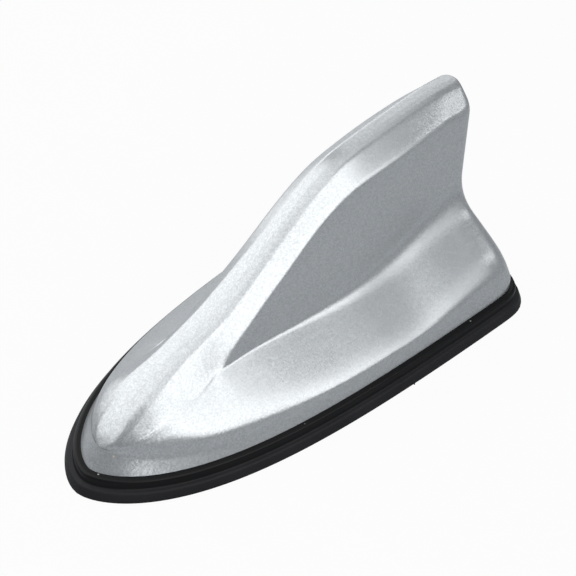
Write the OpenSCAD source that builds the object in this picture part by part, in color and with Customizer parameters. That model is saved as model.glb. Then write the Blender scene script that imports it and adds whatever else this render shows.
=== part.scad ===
// Shark fin roof aerial: painted fin cover, rubber roof gasket, base plate and the radio parts inside.
// X runs rearwards, Y to the vehicle's right and Z up. The origin is the centre of the footprint on the roof.

/* [Cover] */
// Length of the cover along its rim, nose to tail
cover_l = 156.7; // [140:0.1:176]
// Width of the cover across its rim at the tail
cover_w = 74; // [66:0.2:84]
// Height of the fin's ridge above the cover's rim
fin_h = 61.8; // [54:0.2:72]
// Wall thickness of the cover
wall = 2.2; // [1.8:0.1:2.6]
// Thickness of the fin just under its top chamfers
fin_w = 19.2; // [17:0.2:22]
// Width of the flat along the ridge
ridge_w = 6.6; // [5.6:0.2:7.6]
// Height of the chamfers beside the ridge
chamfer_h = 6.3; // [5:0.1:7.5]
// Height above the rim of the crease where the fin grows out of the shoulders
foot_h = 18.2; // [16:0.2:20.5]
// Half the width of the fin at that crease, at mid length
foot_y = 14.5; // [12.5:0.1:16.5]
// Rise of the shoulders towards the fin, as a tangent
shoulder_rise = 0.7; // [0.6:0.01:0.76]
// Height of the upright band above the rim, along the sides
band_h = 2.3; // [1.8:0.1:2.9]
// Height of the upright band above the rim, at the nose
band_nose_h = 5.8; // [4.6:0.1:6.6]
// How far that band leans in, along the sides
band_lean = 0.8; // [0.4:0.1:1.2]
// How far that band leans back, at the nose
nose_lean = 4.2; // [3:0.1:5]
// Length over which the plan widens behind the nose
nose_run = 46.8; // [40:0.2:54]

/* [Gasket] */
// Height of the cover's rim above the roof
rim_z = 6.2; // [5.6:0.1:7.2]
// How far the gasket reaches past the rim at the nose
lip_nose = 5.6; // [4.5:0.1:7]
// How far the gasket reaches past the rim along the sides
lip_side = 4.6; // [3.6:0.1:5.8]
// How far the gasket reaches past the rim at the tail
lip_tail = 2.7; // [2:0.1:4]
// Height of the gasket's lower step
step_h = 3.1; // [2.4:0.1:3.8]
// Thickness of the lip that the rim presses on the base plate
clamp_lip = 0.8; // [0.6:0.1:1]
// How far the gasket reaches in under the base plate
under_lip = 3.2; // [2.6:0.1:3.8]

/* [Base plate] */
// Thickness of the base plate at its edge
plate_t = 2.8; // [2.4:0.1:3]
// Thickness of the adhesive pad
pad_t = 1.1; // [0.8:0.1:1.4]
// Distance of the lead's outlet ahead of the origin
outlet_x = 43; // [41:0.5:45]
// Radius of the bore that the lead passes through
outlet_r = 3; // [2.4:0.1:3.4]
// Diameter of the cover screws' shanks
screw_d = 2.9; // [2.4:0.1:3.2]
// Length of the cover screws under the head
screw_l = 10; // [8:0.5:11]
// Distance of the cover screws in from the rim
screw_inset = 9.4; // [8.6:0.1:10.4]

/* [Circuit board] */
// Length of the circuit board
board_l = 76; // [68:0.5:78]
// Width of the circuit board
board_w = 34; // [30:0.5:37]
// Thickness of the circuit board
board_t = 1.6; // [1.2:0.1:2]
// Height of the standoffs that carry the board, above the base plate
standoff_h = 4.6; // [3.6:0.1:5.4]
// Height of the shield can
can_h = 4.4; // [3.8:0.1:5.2]

/* [Aerial element] */
// Diameter of the coil's wire
wire_d = 0.9; // [0.7:0.05:1.1]
// Mean radius of the coil
coil_r = 5.3; // [4.8:0.1:5.8]
// Turns of the coil
coil_turns = 9; // [7:1:11]
// Height of the wound part of the coil
coil_h = 20; // [17:0.5:23]
// Length of the top plate
top_l = 44; // [38:0.5:47]
// Thickness of the folded top plate
sheet_t = 0.6; // [0.4:0.1:0.8]
// Depth of the top plate's skirts
skirt_h = 14; // [11:0.5:17]
// Thickness of the foam strip over the top plate
foam_t = 3; // [2.4:0.1:3.6]
// Thickness of the carrier's web
web_t = 2.4; // [2:0.1:2.8]

/* [Hidden] */
$fn = 48;

// Gap between moulded pieces, and round a screw's thread
gap = 0.3;
screw_gap = 0.05;
// Nose and tail of the cover's rim, with the footprint centred on the origin
nose_x = lip_nose - (cover_l + lip_nose + lip_tail) / 2;
tail_x = nose_x + cover_l;
// Levels from the roof up
plate_top = rim_z - clamp_lip;
plate_low = plate_top - plate_t;
board_z = plate_top + standoff_h;
board_top = board_z + board_t;

// Sections of the loft: even in x along the body, closer towards the nose, then round the tail
body_steps = 27;
tail_steps = 8;
body_shares = [for (i = [0 : body_steps]) pow(i / body_steps, 1.6)];
tail_widths = [for (k = [1 : tail_steps]) sqrt(cos(89.8 * k / tail_steps))];
stations = concat([for (s = body_shares) [s, 1]], [for (v = tail_widths) [1, v]]);

// Smooth curve through a short list of [share of the length, value] pairs
function slope_at(t, i) =
    let (a = max(i - 1, 0), b = min(i + 1, len(t) - 1)) (t[b][1] - t[a][1]) / (t[b][0] - t[a][0]);
function segment_at(t, s, i = 0) = (i >= len(t) - 2 || s < t[i + 1][0]) ? i : segment_at(t, s, i + 1);
function curve(t, s) =
    let (
        i = segment_at(t, s),
        run = t[i + 1][0] - t[i][0],
        u = (s - t[i][0]) / run,
        a = t[i][1],
        b = t[i + 1][1],
        da = slope_at(t, i) * run,
        db = slope_at(t, i + 1) * run
    )
    a + u * (da + u * (3 * (b - a) - 2 * da - db + u * (2 * (a - b) + da + db)));

// Styling curves of the cover, each a share of the size that it belongs to. The foot starts where the
// flat side of the fin comes to a point, and ahead of it the skin is one arch from band to ridge.
foot_start = 0.262;
ridge_rise = [[0, 0.009], [0.006, 0.027], [0.015, 0.052], [0.03, 0.088], [0.06, 0.15], [0.11, 0.23], [0.2, 0.318],
              [0.317, 0.43], [0.441, 0.62], [0.564, 0.829], [0.647, 0.929], [0.72, 0.964], [0.935, 1], [1, 0.991]];
ridge_spread = [[0, 0.2], [0.006, 0.82], [0.015, 1.3], [0.03, 1.55], [0.06, 1.62], [0.11, 1.63], [0.2, 1.42],
                [0.28, 1.48], [0.4, 1.2], [0.5, 0.95], [0.7, 0.93], [1, 1]];
ridge_reach = [[0, 2.5], [0.11, 1.5], [0.25, 0.8], [1, 0.7]];
chamfer_drop = [[0, 0.03], [0.006, 0.1], [0.015, 0.2], [0.03, 0.32], [0.05, 0.43], [0.11, 0.72], [0.194, 1.2],
                [0.262, 1.33], [0.358, 1.02], [0.5, 1], [1, 1]];
chamfer_reach = [[0, 4], [0.15, 3], [0.262, 1], [1, 0.9]];
fin_spread = [[0, 0.094], [0.006, 0.31], [0.015, 0.52], [0.03, 0.77], [0.05, 0.97], [0.11, 1.25],
              [0.194, 1.19], [0.262, 1.09], [0.358, 1.05], [0.441, 0.98], [0.6, 0.94], [0.82, 1.05], [1, 0.99]];
foot_rise = [[0.262, 0.981], [0.358, 1.01], [0.523, 0.985], [0.647, 0.99], [0.77, 1.05], [0.88, 1.2], [1, 1.335]];
foot_spread = [[0.262, 0.776], [0.358, 0.785], [0.523, 0.92], [0.647, 1], [0.77, 0.965], [0.88, 0.89], [1, 0.835]];
foot_fillet = [[0.262, 0.5], [0.5, 1.6], [0.75, 5], [1, 8]];
slope_steep = [[0.262, 1.1], [0.3, 1.05], [0.36, 1.015], [0.42, 1], [1, 1]];

// How far each rail of the loft stands in from the tail of the rim, and its corner's reach in plan
rail_tail = [0, 0.5, 1.5, 4.2, -1.8, -1.2, -1.2];
rail_corner = [16, 11.5, 13.3, 5.6, 8, 3, 3];
// How far the ridge and the fin's edge fall at the rear corner, and how late the fall sets in
rail_fall = [0, 0, 0, 0, 2, 1.4, 1.4];
fall_power = 2.5;
// Reach of the roundings along the band and the shoulder, and what the fin's edges gain at the tip
band_reach = 1.1;
shoulder_reach = 7;
tip_reach = 3;
// Lean of the wall above the band, and crown of the ridge above its two edges
shoulder_lean = 0.364;
ridge_crown = 0.25;
// How a wall's thickness moves each rail inwards and downwards
rail_in = [1, 1, 0.83, 1, 1, 0.45, 0];
rail_down = [0, 0, 0.64, 0.52, 0.55, 1.18, 1.18];

// Half width of the rim, which ends in a narrow flat at the nose, and height of the ridge above the rim
nose_flat_share = 0.0012;
function half_plan(s) = cover_w / 2 * pow(1 - exp(-cover_l * max(s, nose_flat_share) / nose_run), 0.62);
function ridge_h(s) = band_nose_h + (fin_h - band_nose_h) * curve(ridge_rise, s);

// Outward direction of the rim in plan, at each station
function rail_x(j, s, v) =
    let (front = nose_x + (j == 0 ? 0 : nose_lean), back = tail_x - rail_tail[j] - rail_corner[j])
    front + s * (back - front) + rail_corner[j] * pow(1 - pow(v, 4), 0.25);
function rim_point(i) = [rail_x(0, stations[i][0], stations[i][1]), half_plan(stations[i][0]) * stations[i][1]];
last_station = len(stations) - 1;
rim_half = [for (i = [0 : last_station]) rim_point(i)];
function turn_out(d) = [-d.y, d.x] / norm(d);
rim_out = [
    for (i = [0 : last_station])
        i == 0 ? [-1, 0] : i == last_station ? [1, 0] : turn_out(rim_half[i + 1] - rim_half[i - 1])
];

// The shoulder's corner: the wall above the band leans in up to it. Behind the foot's start it lies where
// the slope down from the foot meets the wall, and ahead of that at a share of the arch's height.
function shoulder(band, up) = band + up * [-shoulder_lean, 1];
function slope_up(band, foot, s) =
    let (m = shoulder_rise * curve(slope_steep, s))
    (foot.y - band.y - m * (band.x - foot.x)) / (1 - shoulder_lean * m);
arch_share = 0.319;
arch_gain = 0.25;
function arch_up(band, edge, s) = (edge.y - band.y) * (arch_share + arch_gain * (1 - s / foot_start));
// Share of the way from the fin's edge to that corner at which the next rail runs ahead of the foot's start
crease_out = 1;
crease_share = 0.3;
function arch_crease(run, s) =
    let (near = crease_out / run) near + max(0, crease_share - near) * pow(1 - s / foot_start, 0.8);

// The seven rails of the cover's skin at one station, from the rim up to the ridge
function rails(i, inset) =
    let (
        s = stations[i][0],
        v = stations[i][1],
        y = half_plan(s),
        top = ridge_h(s),
        band = [y * (1 - 2 * band_lean / cover_w), band_h + (band_nose_h - band_h) * pow(1 - s, 5)],
        edge = [fin_w / 2 * curve(fin_spread, s), top - chamfer_h * curve(chamfer_drop, s)],
        flank = [foot_y * curve(foot_spread, s), foot_h * curve(foot_rise, s)],
        turn = shoulder(band, s < foot_start ? arch_up(band, edge, s) : slope_up(band, flank, s)),
        foot = s < foot_start ? edge + (turn - edge) * arch_crease(norm(turn - edge), s) : flank,
        half = [
            [y, 0],
            band,
            turn,
            foot,
            edge,
            [ridge_w / 2 * curve(ridge_spread, s), top],
            [0, top + ridge_crown * min(1, 0.4 + 12 * s)]
        ]
    )
    [
        for (j = [0 : 6])
            [
                rail_x(j, s, v) - rim_out[i].x * inset,
                half[j].x * v - rim_out[i].y * inset * rail_in[j],
                rim_z + half[j].y - rail_fall[j] * pow(1 - v, fall_power) - rail_down[j] * inset
            ]
    ];

// A rail's corner, rounded over a reach that its two edges leave room for
function bend(a, b, c, reach, n) =
    let (
        p = b + (a - b) * min(0.45, reach / max(norm(a - b), 0.01)),
        q = b + (c - b) * min(0.45, reach / max(norm(c - b), 0.01))
    )
    [for (k = [0 : n]) let (t = k / n) (1 - t) * (1 - t) * p + 2 * t * (1 - t) * b + t * t * q];
function skin_half(i, inset, fine) =
    let (r = rails(i, inset), s = stations[i][0], wider = tip_reach * sqrt(1 - stations[i][1]))
    concat(
        [r[0]],
        fine ? bend(r[0], r[1], r[2], band_reach, 1) : [r[1]],
        bend(r[1], r[2], r[3], shoulder_reach, fine ? 4 : 2),
        bend(r[2], r[3], r[4], curve(foot_fillet, max(s, foot_start)), fine ? 4 : 2),
        fine ? bend(r[3], r[4], r[5], curve(chamfer_reach, s) + wider, 2) : [r[4]],
        fine ? bend(r[4], r[5], r[6], curve(ridge_reach, s) + wider, 2) : [r[5]],
        [r[6]]
    );
function both_sides(h) =
    concat([for (p = h) [p.x, -p.y, p.z]], [for (k = [len(h) - 2 : -1 : 0]) h[k]]);

// Faces of a skin of n loops with m points each, closed at the nose and the tail
function skin_faces(n, m, base, outward) =
    let (
        sides = [
            for (i = [0 : n - 2], j = [0 : m - 2])
                [base + i * m + j, base + i * m + j + 1, base + (i + 1) * m + j + 1, base + (i + 1) * m + j]
        ],
        mid = (m - 1) / 2,
        ends = [
            for (e = [0, n - 1], j = [0 : mid - 1])
                let (
                    a = base + e * m + j,
                    b = base + e * m + m - 1 - j,
                    strip = j == mid - 1 ? [a, b, a + 1] : [a, b, b - 1, a + 1]
                )
                e == 0 ? strip : turned(strip)
        ],
        all = concat(sides, ends)
    )
    outward ? all : [for (f = all) turned(f)];
function turned(f) = [for (k = [len(f) - 1 : -1 : 0]) f[k]];

// Rim faces that join the outer and the inner skin along both sides, the nose and the tail
function rim_faces(n, m, k) =
    let (
        inner = n * m,
        left = [for (i = [0 : n - 2]) [i * m, (i + 1) * m, inner + (i + 1) * k, inner + i * k]],
        right = [
            for (i = [0 : n - 2])
                [
                    inner + i * k + k - 1,
                    inner + (i + 1) * k + k - 1,
                    (i + 1) * m + m - 1,
                    i * m + m - 1
                ]
        ],
        tail = (n - 1),
        nose_face = [0, inner, inner + k - 1, m - 1],
        tail_face = [tail * m + m - 1, inner + tail * k + k - 1, inner + tail * k, tail * m]
    )
    concat(left, right, [nose_face, tail_face]);

module cover_shell() {
    outer = [for (i = [0 : last_station]) each both_sides(skin_half(i, 0, true))];
    inner = [for (i = [0 : last_station]) each both_sides(skin_half(i, wall, false))];
    n = last_station + 1;
    m = len(outer) / n;
    k = len(inner) / n;
    polyhedron(
        concat(outer, inner),
        concat(skin_faces(n, m, 0, true), skin_faces(n, k, n * m, false), rim_faces(n, m, k)),
        convexity = 6
    );
}

cover_shell();
// The rim's outline as a closed loop, moved outwards (or inwards, where negative) by a distance
function outline(d) =
    let (half = [for (i = [0 : last_station]) rim_half[i] + rim_out[i] * d])
    concat(half, [for (i = [last_station : -1 : 0]) [half[i].x, -half[i].y]]);

// Outline of the gasket, a share of the way from the rim out to its outer edge
function lip_reach(n) = lip_side * n.y * n.y + (n.x < 0 ? lip_nose : lip_tail) * n.x * n.x;
function gasket_outline(share) =
    let (half = [for (i = [0 : last_station]) rim_half[i] + rim_out[i] * share * lip_reach(rim_out[i])])
    concat(half, [for (i = [last_station : -1 : 0]) [half[i].x, -half[i].y]]);

module plan_plate(inset, low, high) {
    translate([0, 0, low])
        linear_extrude(high - low)
            polygon(outline(-inset));
}

// Cover screws: one at the nose and two on each side, in the bosses of the cover
nose_screw_x = nose_x + 16;
side_screw_shares = [0.42, 0.9];
function side_screw(share) =
    let (x = nose_x + share * cover_l) [x, half_plan(share) - screw_inset];
screw_spots = concat(
    [[nose_screw_x, 0]],
    [for (s = side_screw_shares, side = [-1, 1]) let (p = side_screw(s)) [p.x, side * p.y]]
);
screw_head_r = screw_d * 0.93;
screw_head_h = 1.8;
screw_seat = pad_t + screw_head_h + 0.2;
screw_tip = screw_seat + screw_l;
boss_r = screw_d / 2 + 1.7;
boss_top = screw_tip + 1.4;
rib_t = 1.4;

// Ribs that tie each boss to the wall: the free edge follows the middle of the wall
function wall_mid(share, j) =
    let (i = station_near(share), r = rails(i, wall / 2)) [r[j].y, r[j].z];
function station_near(share, i = 0) =
    (i >= body_steps || body_shares[i] * (rail_x(0, 1, 1) - nose_x) >= share * cover_l)
        ? i : station_near(share, i + 1);
module boss_rib(share, side) {
    p = side_screw(share);
    band = wall_mid(share, 1);
    mid = wall_mid(share, 2);
    rib_low = rim_z + 2.2;
    free_top = boss_top - 0.6;
    translate([p.x - rib_t / 2, 0, 0])
        scale_side(side)
            rotate([90, 0, 90])
                linear_extrude(rib_t)
                    polygon([
                        [p.y + boss_r - 0.4, rib_low],
                        [band.x - 0.2, rib_low],
                        mid,
                        [p.y + boss_r - 0.4, free_top]
                    ]);
}
module scale_side(side) {
    if (side < 0)
        mirror([0, 1, 0]) children();
    else
        children();
}
module keel_rib() {
    roof = [for (i = [5 : 10]) let (r = rails(i, wall / 2)[6]) [r.x, r.z]];
    first = roof[0];
    last = roof[len(roof) - 1];
    rotate([90, 0, 0])
        translate([0, 0, -rib_t / 2])
            linear_extrude(rib_t)
                polygon(concat(
                    [[first.x, boss_top - 0.6], [nose_screw_x + boss_r - 0.4, boss_top - 0.6]],
                    [[nose_screw_x + boss_r - 0.4, boss_top], [last.x, boss_top]],
                    [for (k = [len(roof) - 1 : -1 : 0]) roof[k]]
                ));
}
module screw_boss(p) {
    translate([p.x, p.y, plate_top])
        difference() {
            cylinder(h = boss_top - plate_top, r = boss_r);
            translate([0, 0, -1])
                cylinder(h = screw_tip + 0.6 - plate_top + 1, r = screw_d / 2 + screw_gap);
        }
}

module fin_cover() {
    color("silver") {
        union() {
            cover_shell();
            for (p = screw_spots)
                screw_boss(p);
            for (share = side_screw_shares, side = [-1, 1])
                boss_rib(share, side);
            keel_rib();
        }
    }
}

// Rubber gasket: a two-step skirt outside, with a groove inside that holds the edge of the base plate
plate_edge = 0.8;
groove_gap = 0.15;
module roof_gasket() {
    lip_end = wall + 0.1;
    // Each pair is the share of the way out past the rim, or minus the distance inside it, and a height
    section = [
        [1, 0], [1, 0.5], [0.82, step_h], [0.56, step_h + 0.3], [0.5, step_h + 0.7],
        [0.47, rim_z - 0.5], [0.36, rim_z - 0.05], [-lip_end, rim_z], [-lip_end, plate_top],
        [groove_gap - plate_edge, plate_top], [groove_gap - plate_edge, plate_low],
        [-plate_edge - under_lip, plate_low], [-plate_edge - under_lip, 0],
        [-2.8, 0], [-2.4, 0.9], [-1.4, 0.9], [-1, 0]
    ];
    around = 2 * (last_station + 1);
    m = len(section);
    loops = [for (q = section) q[0] > 0 ? gasket_outline(q[0]) : outline(q[0])];
    color("#17181a")
        polyhedron(
            [for (k = [0 : around - 1], j = [0 : m - 1]) [loops[j][k].x, loops[j][k].y, section[j][1]]],
            [
                for (k = [0 : around - 1], j = [0 : m - 1])
                    let (next = (k + 1) % around, up = (j + 1) % m)
                    [k * m + j, next * m + j, next * m + up, k * m + up]
            ],
            convexity = 6
        );
}

// Board, carrier and lead outlet places
board_x = 4;
board_hole_in = 3.6;
board_spots = [
    for (sx = [-1, 1], sy = [-1, 1])
        [board_x + sx * (board_l / 2 - board_hole_in), sy * (board_w / 2 - board_hole_in)]
];
board_screw_d = 2.4;
board_screw_l = 5;
board_hole_r = board_screw_d / 2 + 0.15;
carrier_x = board_x + board_l / 2 + 1.5;
foot_l = 24;
foot_w = 26;
foot_t = 2.4;
carrier_spots = [for (sx = [0.2, 0.8], sy = [-1, 1]) [carrier_x + sx * foot_l, sy * (foot_w / 2 - 4)]];
carrier_screw_l = 6;
pilot_r = board_screw_d / 2 + screw_gap;
carrier_boss_h = 2.4;

module base_plate() {
    island_inset = plate_edge + under_lip + 0.2;
    locator_inset = wall + gap + band_lean + 0.6;
    locator_h = 2.6;
    color("#2b2d30")
        difference() {
            union() {
                plan_plate(plate_edge, plate_low, plate_top);
                plan_plate(island_inset, pad_t, plate_low);
                difference() {
                    plan_plate(locator_inset, plate_top, plate_top + locator_h);
                    plan_plate(locator_inset + 1.2, plate_top - 1, plate_top + locator_h + 1);
                }
                for (p = board_spots)
                    translate([p.x, p.y, plate_top])
                        cylinder(h = standoff_h, r = 3);
                for (p = carrier_spots)
                    translate([p.x, p.y, plate_top])
                        cylinder(h = carrier_boss_h, r = 3);
                translate([-outlet_x, 0, plate_top])
                    cylinder(h = 2, r = outlet_r + 3.4);
            }
            for (p = screw_spots)
                translate([p.x, p.y, 0]) {
                    cylinder(h = screw_seat, r = screw_head_r + 0.3);
                    cylinder(h = rim_z + 1, r = screw_d / 2 + 0.3);
                }
            for (p = board_spots)
                translate([p.x, p.y, board_z - board_screw_l - 0.4 + board_t])
                    cylinder(h = board_screw_l + 1, r = pilot_r);
            for (p = carrier_spots)
                translate([p.x, p.y, plate_top + carrier_boss_h + foot_t - carrier_screw_l - 0.4])
                    cylinder(h = carrier_screw_l + 1, r = pilot_r);
            translate([-outlet_x, 0, 0])
                cylinder(h = rim_z + 4, r = outlet_r + 1.8);
        }
}

// The lead's outlet needs a hole in the pad that clears the grommet's collar
grommet_collar_r = outlet_r + 3.2;
module adhesive_pad() {
    color("#3a3c3f")
        difference() {
            plan_plate(plate_edge + under_lip + 0.8, 0, pad_t);
            translate([-outlet_x, 0, -1])
                cylinder(h = pad_t + 2, r = grommet_collar_r + 0.4);
        }
}

// Screw with a cross recess, standing on its tip end downwards from the head's seat
module cross_screw(d, l, head_r, head_h) {
    slot = head_r * 1.1;
    difference() {
        union() {
            cylinder(h = head_h, r = head_r);
            translate([0, 0, -l + d / 2])
                cylinder(h = l - d / 2 + 0.01, r = d / 2);
            translate([0, 0, -l])
                cylinder(h = d / 2, r1 = d / 8, r2 = d / 2);
        }
        for (turn = [0, 90])
            rotate([0, 0, turn])
                translate([-slot / 2, -0.3, head_h - 0.9])
                    cube([slot, 0.6, 1]);
    }
}

module cover_screws() {
    color("#8f9499")
        for (p = screw_spots)
            translate([p.x, p.y, screw_seat])
                mirror([0, 0, 1])
                    cross_screw(screw_d, screw_l, screw_head_r, screw_head_h);
}

// Rubber bush, grooved to hold the edge of its hole in the base plate
module cable_grommet() {
    neck_top = plate_top + 2;
    color("#202124")
        translate([-outlet_x, 0, 0])
            rotate_extrude()
                polygon([
                    [outlet_r, 0.2],
                    [grommet_collar_r, 0.2],
                    [grommet_collar_r, pad_t],
                    [outlet_r + 1.75, pad_t],
                    [outlet_r + 1.75, neck_top],
                    [outlet_r + 2.8, neck_top],
                    [outlet_r + 1.6, neck_top + 2.2],
                    [outlet_r, neck_top + 2.2]
                ]);
}

module circuit_board() {
    corner = 2;
    color("#1f6b43")
        difference() {
            translate([board_x, 0, board_z])
                linear_extrude(board_t)
                    rounded_rectangle(board_l, board_w, corner);
            for (p = board_spots)
                translate([p.x, p.y, board_z - 1])
                    cylinder(h = board_t + 2, r = board_hole_r);
        }
}
module rounded_rectangle(l, w, r) {
    square([l - 2 * r, w], center = true);
    square([l, w - 2 * r], center = true);
    for (sx = [-1, 1], sy = [-1, 1])
        translate([sx * (l / 2 - r), sy * (w / 2 - r)])
            circle(r);
}

module board_screws() {
    color("#b9bdc1")
        for (p = board_spots)
            translate([p.x, p.y, board_top])
                cross_screw(board_screw_d, board_screw_l, 2.2, 1.4);
}

// Folded metal can over the amplifier, and the free strips of the board beside, ahead of and behind it
can_x = board_x - 2;
can_side = 6.5;
can_less = 11;
can_l = board_l / 2 - can_less;
can_w = board_w - 2 * can_side;
can_t = 0.4;
can_front = can_x - can_l / 2;
can_back = can_x + can_l / 2;
// Rows of small pieces: behind the can, and under it
row_start = can_back + 3.5;
row_pitch = 4;
column_pitch = 5;
capacitor_y = 6 - board_w / 2;
resistor_y = 9.5 - board_w / 2;
module shield_can() {
    vent_pitch = can_l / 6;
    color("#a9adb0")
        translate([can_x, 0, board_top])
            difference() {
                linear_extrude(can_h)
                    rounded_rectangle(can_l, can_w, 1.2);
                translate([0, 0, -can_t])
                    linear_extrude(can_h)
                        rounded_rectangle(can_l - 2 * can_t, can_w - 2 * can_t, 0.8);
                for (kx = [-2 : 2], ky = [-1 : 1])
                    translate([kx * vent_pitch, ky * vent_pitch, can_h - 1])
                        cylinder(h = 2, r = 0.8);
            }
}

module chip(l, w, h, legs, pitch) {
    translate([-l / 2, -w / 2, 0.1])
        cube([l, w, h]);
    for (side = [-1, 1], k = [0 : legs - 1])
        translate([(k - (legs - 1) / 2) * pitch - 0.2, side > 0 ? w / 2 - 0.2 : -w / 2 - 0.8, 0])
            cube([0.4, 1, 0.3]);
}
module amplifier_chip() {
    behind_front = 9.5;
    color("#26272a")
        translate([can_front + behind_front, 0, board_top])
            chip(6, 5, 1.3, 6, 0.95);
}

// Small two-ended parts, each a body between two caps
module two_ended(l, w, h) {
    end = l * 0.22;
    translate([-l / 2, -w / 2, 0])
        cube([end, w, h]);
    translate([-l / 2 + end, -w / 2 + 0.05, 0.05])
        cube([l - 2 * end, w - 0.1, h - 0.1]);
    translate([l / 2 - end, -w / 2, 0])
        cube([end, w, h]);
}
module chip_capacitors() {
    ahead_of_back = 8.5;
    color("#b08d62") {
        for (k = [-1 : 1])
            translate([can_back - ahead_of_back, k * column_pitch, board_top])
                two_ended(2, 1.2, 0.8);
        for (k = [0 : 2])
            translate([row_start + k * row_pitch, capacitor_y, board_top])
                two_ended(2, 1.2, 0.8);
    }
}
module chip_resistors() {
    ahead_of_back = 4;
    color("#303236") {
        for (k = [-1 : 1])
            translate([can_back - ahead_of_back, k * column_pitch + 1, board_top])
                two_ended(1.6, 0.8, 0.5);
        for (k = [0 : 2])
            translate([row_start + k * row_pitch, resistor_y, board_top])
                two_ended(1.6, 0.8, 0.5);
    }
}

// Drum-core inductors: two flanges and a winding between them
module wound_inductors() {
    drum_r = 2.6;
    drum_h = 4;
    edge_in = 6;
    first = can_back + 4;
    last = board_x + board_l / 2 - board_hole_in - 4.9;
    color("#7a4a2a")
        for (k = [0 : 2])
            translate([first + k * (last - first) / 2, board_w / 2 - edge_in, board_top]) {
                cylinder(h = 0.8, r = drum_r);
                translate([0, 0, 0.8])
                    cylinder(h = drum_h - 1.6, r = drum_r - 0.6);
                translate([0, 0, drum_h - 0.8])
                    cylinder(h = 0.8, r = drum_r);
            }
}

module smoothing_capacitor() {
    can_r = 3.15;
    can_rise = 7;
    ahead_of_can = 5.5;
    edge_in = 7;
    color("#c3c6c9")
        translate([can_front - ahead_of_can, board_w / 2 - edge_in, board_top]) {
            translate([-can_r, -can_r, 0])
                cube([2 * can_r, 2 * can_r, 0.8]);
            translate([0, 0, 0.8])
                rotate_extrude()
                    polygon([
                        [0, 0], [can_r - 0.15, 0], [can_r - 0.15, 0.7], [can_r - 0.5, 1], [can_r - 0.15, 1.3],
                        [can_r - 0.15, can_rise - 1.2], [can_r - 0.6, can_rise - 0.8], [0, can_rise - 0.8]
                    ]);
        }
}

// Pin header for the lead: a shrouded housing, open towards the nose, and its row of pins
header_x = board_x - board_l / 2 + 9;
header_l = 8;
header_w = 12.5;
header_h = 5.4;
pin_pitch = 2.5;
pin_count = 4;
module lead_header() {
    shroud = 0.9;
    back = 2.4;
    color("#e8e4d6")
        translate([header_x - header_l / 2, 0, board_top])
            difference() {
                translate([0, -header_w / 2, 0])
                    cube([header_l, header_w, header_h]);
                translate([-1, -header_w / 2 + shroud, shroud])
                    cube([header_l - back + 1, header_w - 2 * shroud, header_h - 2 * shroud]);
                translate([-1, -2, header_h - shroud - 1])
                    cube([header_l - back + 1, 4, shroud + 2]);
                for (k = [0 : pin_count - 1])
                    translate([header_l - back - 1, (k - (pin_count - 1) / 2) * pin_pitch - 0.35, header_h / 2 - 0.35])
                        cube([back + 2, 0.7, 0.7]);
            }
}
module header_pins() {
    pin = 0.64;
    color("#d6c27a")
        for (k = [0 : pin_count - 1])
            translate([header_x, (k - (pin_count - 1) / 2) * pin_pitch - pin / 2, board_top]) {
                translate([-header_l / 2 + 1.2, 0, header_h / 2 - pin / 2])
                    cube([header_l + 0.4, pin, pin]);
                translate([header_l / 2 + 0.96, 0, 0])
                    cube([pin, pin, header_h / 2 + pin / 2]);
            }
}

// Levels and plan of the folded top plate, set from the inside of the ridge above its front end
top_x = tail_x - 11;
top_front = top_x - top_l;
front_share = (top_front - nose_x - nose_lean) / (rail_x(6, 1, 1) - nose_x - nose_lean);
inner_ridge = rim_z + ridge_h(front_share) - rail_down[6] * wall;
top_z = inner_ridge - gap - foam_t;
top_flat = 3;
top_slope_h = 4.4;
top_half = fin_w / 2 - wall - 1.3;

// Outline across the folded plate, at a distance in from its outer face
function fold(d) = [
    [top_half - d, -skirt_h],
    [top_half - d, -top_slope_h - 0.41 * d],
    [top_flat - 0.36 * d, -d],
    [-top_flat + 0.36 * d, -d],
    [-top_half + d, -top_slope_h - 0.41 * d],
    [-top_half + d, -skirt_h]
];
function reversed(t) = [for (k = [len(t) - 1 : -1 : 0]) t[k]];
eyelet_r = 1.6;
coil_in = 1.7;
coil_x = top_front + coil_r + coil_in;
module top_plate() {
    color("#b9a05c")
        difference() {
            translate([top_front, 0, top_z])
                rotate([90, 0, 90])
                    linear_extrude(top_l)
                        polygon(concat(fold(0), reversed(fold(sheet_t))));
            translate([coil_x, 0, top_z - sheet_t - 1])
                cylinder(h = sheet_t + 2, r = eyelet_r);
            for (k = [0 : 1], side = [-1, 1])
                translate([arm_x + 6 + k * 14, side * (top_half - 1), top_z - skirt_h + 3])
                    rotate([90, 0, 0])
                        cylinder(h = 4, r = 1.6, center = true);
        }
}

// Foam strip that keeps the top plate quiet against the ridge
module foam_strip() {
    foam_half = 1.9;
    foam_in = 3;
    foam_front = top_front + top_l / 4;
    foam_back = top_x - foam_in;
    color("#4a4c4e")
        translate([foam_front, -foam_half, top_z])
            cube([foam_back - foam_front, 2 * foam_half, foam_t]);
}

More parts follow.
